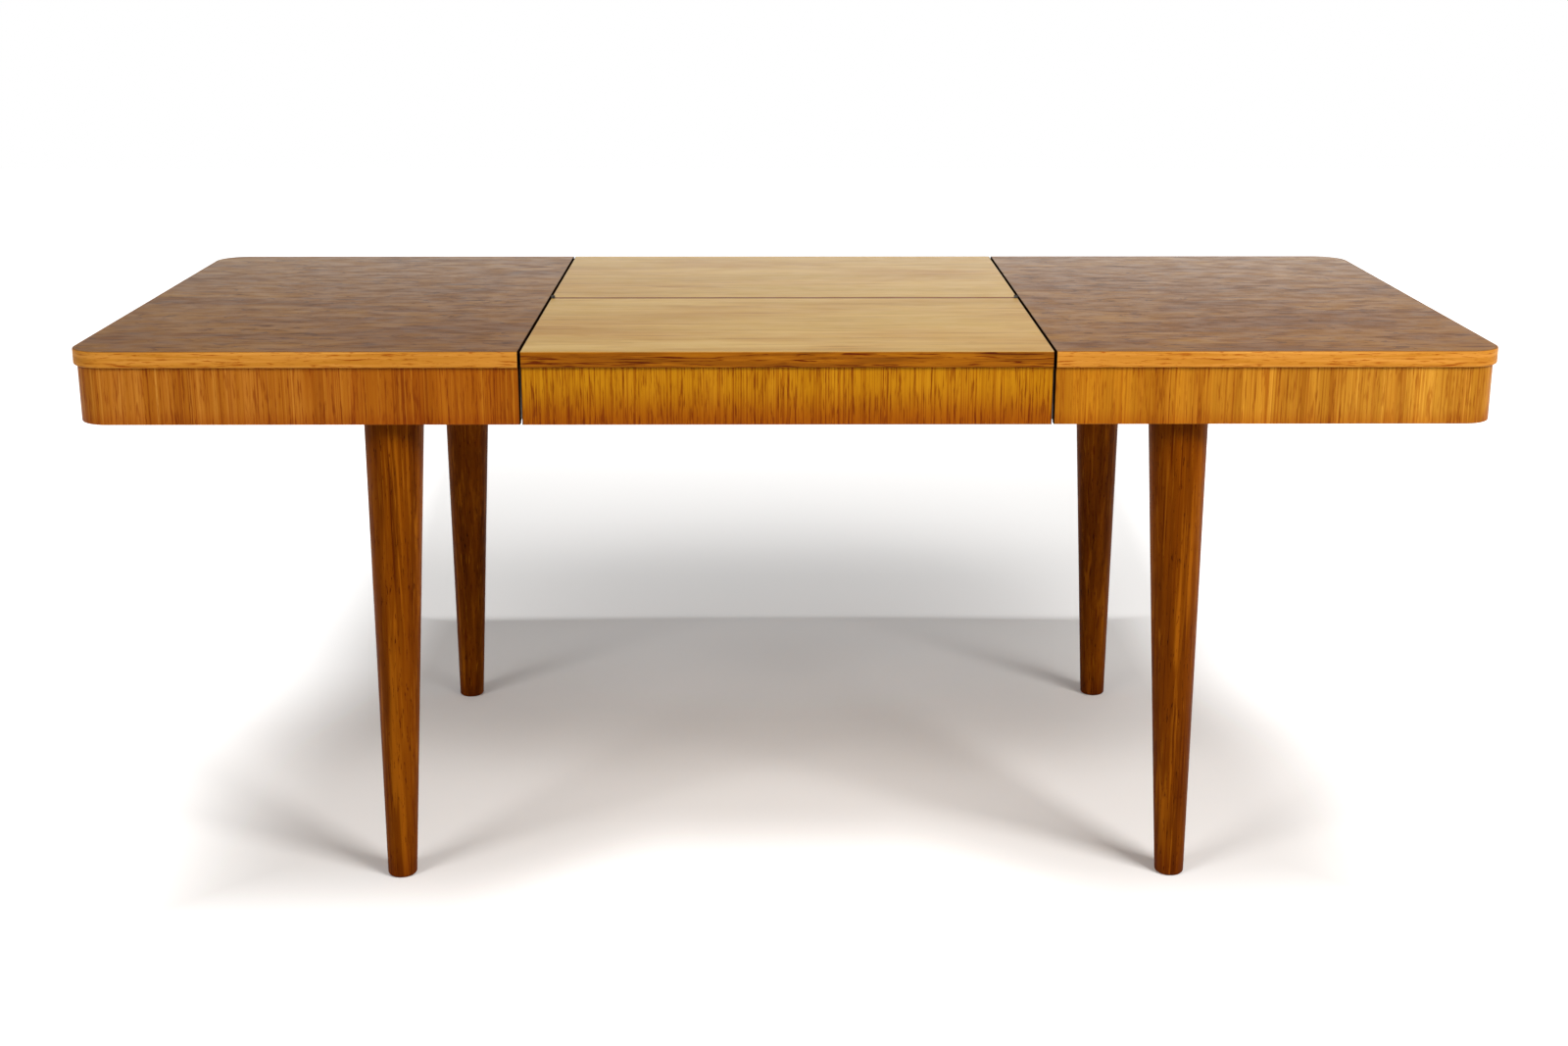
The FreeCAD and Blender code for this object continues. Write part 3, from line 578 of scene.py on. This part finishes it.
def half_outline(side):
    """Points, outward directions and running length of a half top's edge, in mm.

    Runs are (1 - t) a + t b; a corner with centre c is c + r (sin t, -cos t) for t from 0 to a right angle.
    """
    x, y, r = END_X - CORNER_RADIUS, EDGE_Y - CORNER_RADIUS, CORNER_RADIUS
    long_run = np.linspace(SEAM_X, x, int((x - SEAM_X) / RUN_STEP))[:, None]
    front = np.hstack([long_run, np.full_like(long_run, -EDGE_Y)])
    turn = np.linspace(0, np.pi / 2, CORNER_STEPS + 1)[:, None]
    first = np.array([x, -y]) + r * np.hstack([np.sin(turn), -np.cos(turn)])
    cross = np.linspace(-y, y, int(2 * y / RUN_STEP))[1:-1, None]
    end = np.hstack([np.full_like(cross, END_X), cross])
    points = np.vstack([front[:-1], first, end, first[::-1] * [1, -1], front[-2::-1] * [1, -1]])
    straight_x, straight_y = np.clip(points[:, 0], SEAM_X, x), np.clip(points[:, 1], -y, y)
    outward = points - np.column_stack([straight_x, straight_y])
    outward = outward / np.linalg.norm(outward, axis=1, keepdims=True)
    length = np.concatenate([[0], np.cumsum(np.linalg.norm(np.diff(points, axis=0), axis=1))])
    return points * [side, 1], outward * [side, 1], length


def rounded_section(low, high, radii):
    """A closed cross-section between two corners, each of its four corners rounded, in mm.

    Columns are outwards and upwards. A corner with centre c and radius r is c + r (cos t, sin t). A point
    just before and after each corner keeps the flat sides flat when the surface is shaded smoothly.
    """
    signs = np.array([(1, -1), (1, 1), (-1, 1), (-1, -1)])
    starts = np.radians([-90, 0, 90, 180])
    parts = []
    for sign, start, r in zip(signs, starts, radii):
        corner = np.where(sign > 0, high, low)
        t = start + np.linspace(0, np.pi / 2, ARRIS_STEPS + 1)[:, None]
        arc = corner - sign * r + r * np.hstack([np.cos(t), np.sin(t)])
        before = arc[:1] - SHADING_MARGIN * np.array([[-np.sin(start), np.cos(start)]])
        after = arc[-1:] + SHADING_MARGIN * np.array([[-np.cos(start), -np.sin(start)]])
        parts += [before, arc, after]
    return np.vstack(parts)


def sweep(name, points, outward, length, section):
    """A section carried along an outline: point + across * outward, at height up, for all pairs at once.

    The strip's own UV coordinates are the running length and the way round the section, in metres. Faces
    are turned over where the outward side lies to the left of the path.
    """
    n, m = len(points), len(section)
    flat = points[:, None, :] + section[None, :, :1] * outward[:, None, :]
    height = np.broadcast_to(section[None, :, 1:], (n, m, 1))
    vertices = np.concatenate([flat, height], axis=2).reshape(-1, 3) * MM
    i, j = np.meshgrid(np.arange(n - 1), np.arange(m), indexing="ij")
    k = (j + 1) % m
    quads = np.stack([i * m + j, (i + 1) * m + j, (i + 1) * m + k, i * m + k], axis=-1).reshape(-1, 4)
    caps = [list(range(m)), list(range((n - 1) * m, n * m))[::-1]]
    step = points[1] - points[0]
    if step[0] * outward[0, 1] > step[1] * outward[0, 0]:
        quads, caps = quads[:, ::-1], [cap[::-1] for cap in caps]
    mesh = bpy.data.meshes.new(name)
    mesh.from_pydata(vertices.tolist(), [], quads.tolist() + caps)
    around = np.concatenate([[0], np.cumsum(np.linalg.norm(np.diff(section, axis=0), axis=1))])
    corner_vertex = np.zeros(len(mesh.loops), dtype=np.int32)
    mesh.loops.foreach_get("vertex_index", corner_vertex)
    uv = np.column_stack([length[corner_vertex // m], around[corner_vertex % m]]) * MM
    mesh.uv_layers.new(name="strip").data.foreach_set("uv", uv.astype(np.float32).ravel())
    return finished(name, mesh)


def finished(name, mesh):
    """Smooth shading with sharp edges where faces meet steeply, and an object for the mesh."""
    mesh.update()
    mesh.polygons.foreach_set("use_smooth", np.ones(len(mesh.polygons), dtype=bool))
    mesh.set_sharp_from_angle(angle=SHARP_ANGLE)
    piece = bpy.data.objects.new(name, mesh)
    scene.collection.objects.link(piece)
    return piece


def settle(piece, material, body, slot, *nodes):
    """Dresses a new piece, lets it ride on a body and hides the CAD nodes it stands for."""
    piece.data.materials.append(material)
    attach(piece, body)
    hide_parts(*nodes)
    print(piece.name, len(piece.data.polygons), "faces, rides on", body)


SIDES = ((-1, "left"), (1, "right"))
DEPTHS = ((-1, "front"), (1, "back"))
print("outline of a half top:", round(half_outline(1)[2][-1]), "mm")

# %% [markdown]
# ## Lippings
#
# Each board is edged with a strip of solid wood, glued on and then rounded over with a small plane. That
# rounding is only two millimetres, but the light turns on it all along the table's edge, so it is modelled
# and not painted. The strips on the halves were steamed round the corners. The leaf's strips are straight
# and of a darker, more figured wood. The upper face of a strip has aged like the board beside it, so a band
# of colour over the last millimetre of height takes it from the strip's own colour to the board's.

# %% Edge strips of the halves and of the leaf
EDGE_GLOSS = (0.42, 0.06, 0.05)
ARRIS = 2.0
TIGHT_ARRIS = 0.2
UPPER_FACE = ("Z", TOP_Z - 1.0, TOP_Z - 0.1)
LEAF_STEPS = 25

orange_strip = wood(
    "orange_lacquered_lipping",
    "X",
    (200, 7),
    [(0.3, "#aa6b1b"), (0.5, "#bc7c2b"), (0.7, "#ca8c3c")],
    [
        (40, 3, 0.3, 0.56, 0.7, "#c99a5c", "MULTIPLY"),
        (18, 1.8, 0.2, 0.58, 0.7, "#d0a468", "MULTIPLY"),
    ],
    (30, 1.6),
    EDGE_GLOSS,
    "#dca050",
    [(*UPPER_FACE, "#85582a", "MIX")],
    HALF_CUT,
    "UV",
)
brown_strip = wood(
    "figured_brown_lipping",
    "X",
    (160, 8),
    [(0.28, "#6e3c06"), (0.5, "#8c4f08"), (0.7, "#a86810")],
    [
        (120, 5, 1.6, 0.54, 0.64, "#a06a34", "MULTIPLY"),
        (40, 2.5, 0.4, 0.56, 0.7, "#b48450", "MULTIPLY"),
    ],
    (30, 1.6),
    EDGE_GLOSS,
    "#b47a28",
    [(*UPPER_FACE, "#c29c5a", "MIX")],
    LEAF_CUT,
    "UV",
)
EDGE_RADII = (ARRIS, ARRIS, TIGHT_ARRIS, TIGHT_ARRIS)
edge_section = rounded_section(np.array([-LIPPING, UNDERSIDE]), np.array([0.0, TOP_Z]), EDGE_RADII)
for side, side_name in SIDES:
    strip = sweep(f"edge_strip_{side_name}", *half_outline(side), edge_section)
    settle(strip, orange_strip, f"{side_name}_half", "top_lipping", f"top_lipping_{side_name}")

leaf_section = rounded_section(np.array([-LIPPING, LEAF_UNDERSIDE]), np.array([0.0, TOP_Z]), EDGE_RADII)
for depth, depth_name in DEPTHS:
    along = np.linspace(-LEAF_END, LEAF_END, LEAF_STEPS)
    points = np.column_stack([along, np.full_like(along, depth * EDGE_Y)])
    outward = np.broadcast_to([0.0, float(depth)], points.shape)
    strip = sweep(f"leaf_edge_strip_{depth_name}", points, outward, along + LEAF_END, leaf_section)
    settle(strip, brown_strip, f"{depth_name}_leaf", "leaf_lipping", f"leaf_lipping_{depth_name}")

# %% [markdown]
# ## Aprons
#
# The aprons of a half look like one band: a side board, a bent corner, the end board, a second corner and
# the other side, all veneered upright. Seen from outside no joint shows, so the five pieces are drawn as
# one band along the same outline, a little further in. The veneer has broad soft bands and, over them, fine
# upright lines, pale ones and dark ones. The two halves were veneered from different sheets, and the right
# one is more golden. The leaf's aprons are flat and carry hinges, so they stay as they are and only get
# their veneer: yellower, with straight dark dashes, and darker towards the lower edge.

# %% Bent aprons and leaf aprons
APRON_ARRIS = 1.2
LOWER_EDGE = ("Z", APRON_BOTTOM + 25, APRON_BOTTOM, "#f0ddcb", "MULTIPLY")
# painted shade: from 850 mm to 400 mm from the middle the veneer darkens towards the seam
SHADE_TOWARDS_SEAM = ("X", 850, 400, "#ecda90", "MULTIPLY")
LEAF_LOWER_EDGE = ("Z", APRON_BOTTOM + 60, APRON_BOTTOM, "#d6ac88", "MULTIPLY")
HALF_APRON_STOPS = {
    "left": [(0.36, "#9a580f"), (0.5, "#a56217"), (0.64, "#b27024")],
    "right": [(0.36, "#a36a17"), (0.5, "#b27922"), (0.64, "#c2882a")],
}
HALF_APRON_PALE = {"left": "#b97b2c", "right": "#c88e32"}


def upright_oak(side_name):
    """The veneer of one half's apron: bands and upright lines, darker at the lower edge, and at the seam
    darker as painted shade.
    """
    return wood(
        f"orange_upright_oak_veneer_{side_name}",
        "Z",
        (700, 34),
        HALF_APRON_STOPS[side_name],
        [
            (300, 24, 0.8, 0.5, 0.72, "#e6d0b0", "MULTIPLY"),
            (500, 2.6, 0.3, 0.52, 0.74, HALF_APRON_PALE[side_name], "MIX"),
            (900, 2.4, 0.05, 0.46, 0.66, "#e0cab4", "MULTIPLY"),
            (32, 2.4, 0.05, 0.52, 0.68, "#d8bea4", "MULTIPLY"),
        ],
        (40, 2.2),
        EDGE_GLOSS,
        "#c98a3c",
        [LOWER_EDGE, SHADE_TOWARDS_SEAM],
        HALF_CUT,
    )


golden_oak = wood(
    "golden_upright_oak_veneer",
    "Z",
    (600, 40),
    [(0.3, "#ab7008"), (0.5, "#b0750b"), (0.7, "#b57a10")],
    [
        (900, 2.2, 0.0, 0.46, 0.62, "#d8bca2", "MULTIPLY"),
        (34, 2.2, 0.0, 0.5, 0.66, "#c8a684", "MULTIPLY"),
    ],
    (60, 2.0),
    EDGE_GLOSS,
    "#c08428",
    [LEAF_LOWER_EDGE],
    LEAF_CUT,
)
band_section = rounded_section(
    np.array([-APRON_SETBACK - APRON_THICKNESS, APRON_BOTTOM]),
    np.array([-APRON_SETBACK, UNDERSIDE]),
    (APRON_ARRIS, TIGHT_ARRIS, TIGHT_ARRIS, APRON_ARRIS),
)
BAND_STEMS = ("side_apron_front", "side_apron_back", "end_apron", "apron_corners")
for side, side_name in SIDES:
    apron = sweep(f"apron_band_{side_name}", *half_outline(side), band_section)
    stands_for = [f"{stem}_{side_name}" for stem in BAND_STEMS]
    settle(apron, upright_oak(side_name), f"{side_name}_half", "apron_veneer", *stands_for)
paint(golden_oak, "leaf_apron_front", "leaf_apron_back")

# %% [markdown]
# ## Legs
#
# A leg is turned on a lathe: a plain taper with a rounded foot. As a surface it is one circle whose centre
# climbs a slightly sloping axis while its radius grows, so the whole leg is one array of heights against
# angles. Two things differ from a pure cone. The foot is eased by a quarter circle, and at the top a flat
# is planed on the inner side, where the end rail butts against it. The wood is a deep brown with golden
# streaks a finger wide.

# %% Turned legs
LEG_INSET_Y = 74.0  # from the long edge of the top to the leg's axis, at the rail
LEG_Y = EDGE_Y - LEG_INSET_Y
RAIL_TENON = 30.0  # the end rail's box also holds its tenons, which lie inside the legs
FLAT_Y = rail_high[1] - RAIL_TENON
SPLAY = np.tan(np.radians(1.5))
LEG_TOP_RADIUS = 43.0
FOOT_RADIUS = 20.5
FOOT_EASE = 4.5
SHAFT_START = 30.0
FLAT_STEP = 0.2
LEG_SIDES = 72
EASE_STEPS = 9
SHAFT_STEPS = 24
HEAD_STEPS = 4
LEG_GLOSS = (0.45, 0.05, 0.02)
# darker over the lowest 60 mm of each leg, towards the floor
FOOT_DARKENING = ("Z", 60, 0, "#e0cbb8", "MULTIPLY")

leg_wood = wood(
    "turned_brown_leg_wood",
    "Z",
    (420, 20),
    [(0.34, "#5a2800"), (0.5, "#6a3200"), (0.66, "#7a3d02")],
    [
        (280, 11, 0.8, 0.52, 0.7, "#8c4c06", "MIX"),
        (110, 3.2, 0.4, 0.56, 0.74, "#8c4e08", "MIX"),
        (300, 2.6, 0.3, 0.55, 0.7, "#c4a27c", "MULTIPLY"),
        (18, 1.8, 0.2, 0.6, 0.7, "#947252", "MULTIPLY"),
    ],
    (30, 2.0),
    LEG_GLOSS,
    "#8a4c10",
    [FOOT_DARKENING],
)


def turned_leg(name, side, depth):
    """A circle of radius r(z) about a sloping axis a(z), for all heights and angles at once.

    r(z) is a straight taper. In the last e millimetres above the floor it shrinks by
    e - sqrt(e^2 - (e - z)^2). Beside the end rail the side towards the table's middle is cut off flat.
    """
    ease = FOOT_EASE * (1 - np.cos(np.linspace(0, np.pi / 2, EASE_STEPS)))
    shaft = np.linspace(SHAFT_START, FRAME_BOTTOM - FLAT_STEP, SHAFT_STEPS)
    head = np.linspace(FRAME_BOTTOM, LEG_TOP, HEAD_STEPS)
    z = np.concatenate([ease, shaft, head])
    radius = FOOT_RADIUS + (LEG_TOP_RADIUS - FOOT_RADIUS) * z / LEG_TOP
    inside = np.clip(FOOT_EASE - z, 0, None)
    radius = radius - (FOOT_EASE - np.sqrt(FOOT_EASE**2 - inside**2))
    angle = np.linspace(0, 2 * np.pi, LEG_SIDES, endpoint=False)
    lean = SPLAY * (FRAME_MIDDLE - z)
    x = side * (LEG_X + lean)[:, None] + radius[:, None] * np.cos(angle)
    y = depth * (LEG_Y + lean)[:, None] + radius[:, None] * np.sin(angle)
    by_rail = (z >= FRAME_BOTTOM)[:, None]
    y = np.where(by_rail, depth * np.maximum(depth * y, FLAT_Y), y)
    vertices = np.stack([x, y, np.broadcast_to(z[:, None], x.shape)], axis=-1).reshape(-1, 3) * MM
    i, j = np.meshgrid(np.arange(len(z) - 1), np.arange(LEG_SIDES), indexing="ij")
    k = (j + 1) % LEG_SIDES
    quads = np.stack([i, i, i + 1, i + 1], -1) * LEG_SIDES + np.stack([j, k, k, j], -1)
    last = (len(z) - 1) * LEG_SIDES
    caps = [list(range(LEG_SIDES))[::-1], list(range(last, last + LEG_SIDES))]
    mesh = bpy.data.meshes.new(name)
    mesh.from_pydata(vertices.tolist(), [], quads.reshape(-1, 4).tolist() + caps)
    return finished(name, mesh)


for side, side_name in SIDES:
    for depth, depth_name in DEPTHS:
        leg = turned_leg(f"turned_leg_{depth_name}_{side_name}", side, depth)
        settle(leg, leg_wood, "frame", "leg_wood", f"leg_{depth_name}_{side_name}")

# %% [markdown]
# ## The hidden frame
#
# Rails, runners, bearers and blocks are never seen in normal use, so a joiner leaves them bare. They are
# plain beech with its short dark ray flecks; the parts that slide are waxed and a little smoother. The
# blocks behind the aprons are painted dark brown as painted shade, so that nothing pale shows through the
# seams.

# %% Rails, runners and blocks
BEECH_FLECKS = [
    (9, 1.6, 0.2, 0.58, 0.68, "#b98f66", "MULTIPLY"),
    (80, 6, 0.6, 0.56, 0.7, "#d9c0a0", "MULTIPLY"),
]
BEECH_PORES = (20, 1.8)
BARE_STOPS = [(0.3, "#b98f62"), (0.5, "#c8a276"), (0.7, "#d4b189")]
WAXED_STOPS = [(0.3, "#b08556"), (0.5, "#c0976a"), (0.7, "#cba47a")]
# dark brown stops that paint the glue blocks as shade seen through the seams
SEAM_SHADE_STOPS = [(0.3, "#2e1c0e"), (0.5, "#3a2412"), (0.7, "#462d18")]
BARE_GLOSS = (0.6, 0.06, 0.25)
WAXED_GLOSS = (0.42, 0.06, 0.35)


def beech(name, grain, figure_mm, stops, gloss, worn):
    """Beech along a grain axis: the same flecks and pores under different finishes and colours, one of them
    painted shade.
    """
    return wood(name, grain, figure_mm, stops, BEECH_FLECKS, BEECH_PORES, gloss, worn)


bare_beech = beech("bare_beech", "Y", (200, 14), BARE_STOPS, BARE_GLOSS, "#d8b890")
waxed_beech = beech("waxed_beech", "X", (260, 14), WAXED_STOPS, WAXED_GLOSS, "#d2ae84")
seam_shade_beech = beech("beech_painted_dark_as_seam_shade", "Z", (160, 12), SEAM_SHADE_STOPS, BARE_GLOSS, "#5a3c20")
paint(bare_beech, "tenon_pegs")
paint(waxed_beech, "slide_rail_front", "slide_rail_back")
for _, side_name in SIDES:
    paint(bare_beech, f"end_rail_{side_name}", f"stow_bearer_{side_name}")
    paint(waxed_beech, f"runner_front_{side_name}", f"runner_back_{side_name}")
    # painted shade: the glue blocks are painted dark so the seam gaps look dark
    paint(seam_shade_beech, f"glue_blocks_{side_name}")

# %% [markdown]
# ## Hinges and screws
#
# The hinges at the leaf's fold are dark steel, worn at their ears; those behind the aprons are pressed
# brass, and the screws are plain bright steel. Metal has no colour of its own below its shine, so a cloudy
# noise for handling and tarnish changes both the tone of the shine and its roughness.

# %% Metals
TARNISH_DETAIL = 5.0
TARNISH_STOPS = (0.35, 0.65)
TARNISH_SPAN = (0.3, 0.7)
SMOOTHER, ROUGHER = 0.1, 0.12


def metal(name, bright, dull, roughness, cloud_mm):
    """Bare metal: two tones in clouds of cloud_mm, rougher where it is dull."""
    material, tree, surface = new_material(name)
    where = add(tree, "ShaderNodeTexCoord").outputs["Object"]
    cloud = grain_noise(tree, where, "X", cloud_mm, cloud_mm, TARNISH_DETAIL)
    tones = list(zip(TARNISH_STOPS, (bright, dull)))
    colour = add(tree, "ShaderNodeValToRGB", [(cloud, "Fac")], stops=tones).outputs["Color"]
    rough = band(tree, cloud, *TARNISH_SPAN, roughness - SMOOTHER, roughness + ROUGHER)
    shader = add(
        tree,
        "ShaderNodeBsdfPrincipled",
        [(colour, "Base Color"), (rough, "Roughness")],
        [("Metallic", 1.0)],
    )
    tree.links.new(shader.outputs[0], surface)
    return material


dark_steel = metal("worn_dark_steel", "#6a645c", "#3a3631", 0.42, 3.0)
pressed_brass = metal("tarnished_pressed_brass", "#c9a45c", "#8f7038", 0.38, 5.0)
bright_steel = metal("plain_steel_screw", "#b9b9b6", "#8c8a86", 0.32, 3.0)
BRASS_STEMS = ("board_hinge_leaves", "apron_hinge_leaves", "apron_hinge_pins")
SCREW_STEMS = ("fold_screws", "board_hinge_screws", "apron_hinge_screws")
for _, depth_name in DEPTHS:
    paint(dark_steel, f"fold_plates_{depth_name}")
    paint(pressed_brass, *(f"{stem}_{depth_name}" for stem in BRASS_STEMS))
    paint(bright_steel, *(f"{stem}_{depth_name}" for stem in SCREW_STEMS))
paint(dark_steel, "fold_pins")
paint(bright_steel, "bearer_screws", "runner_screws_left", "runner_screws_right")
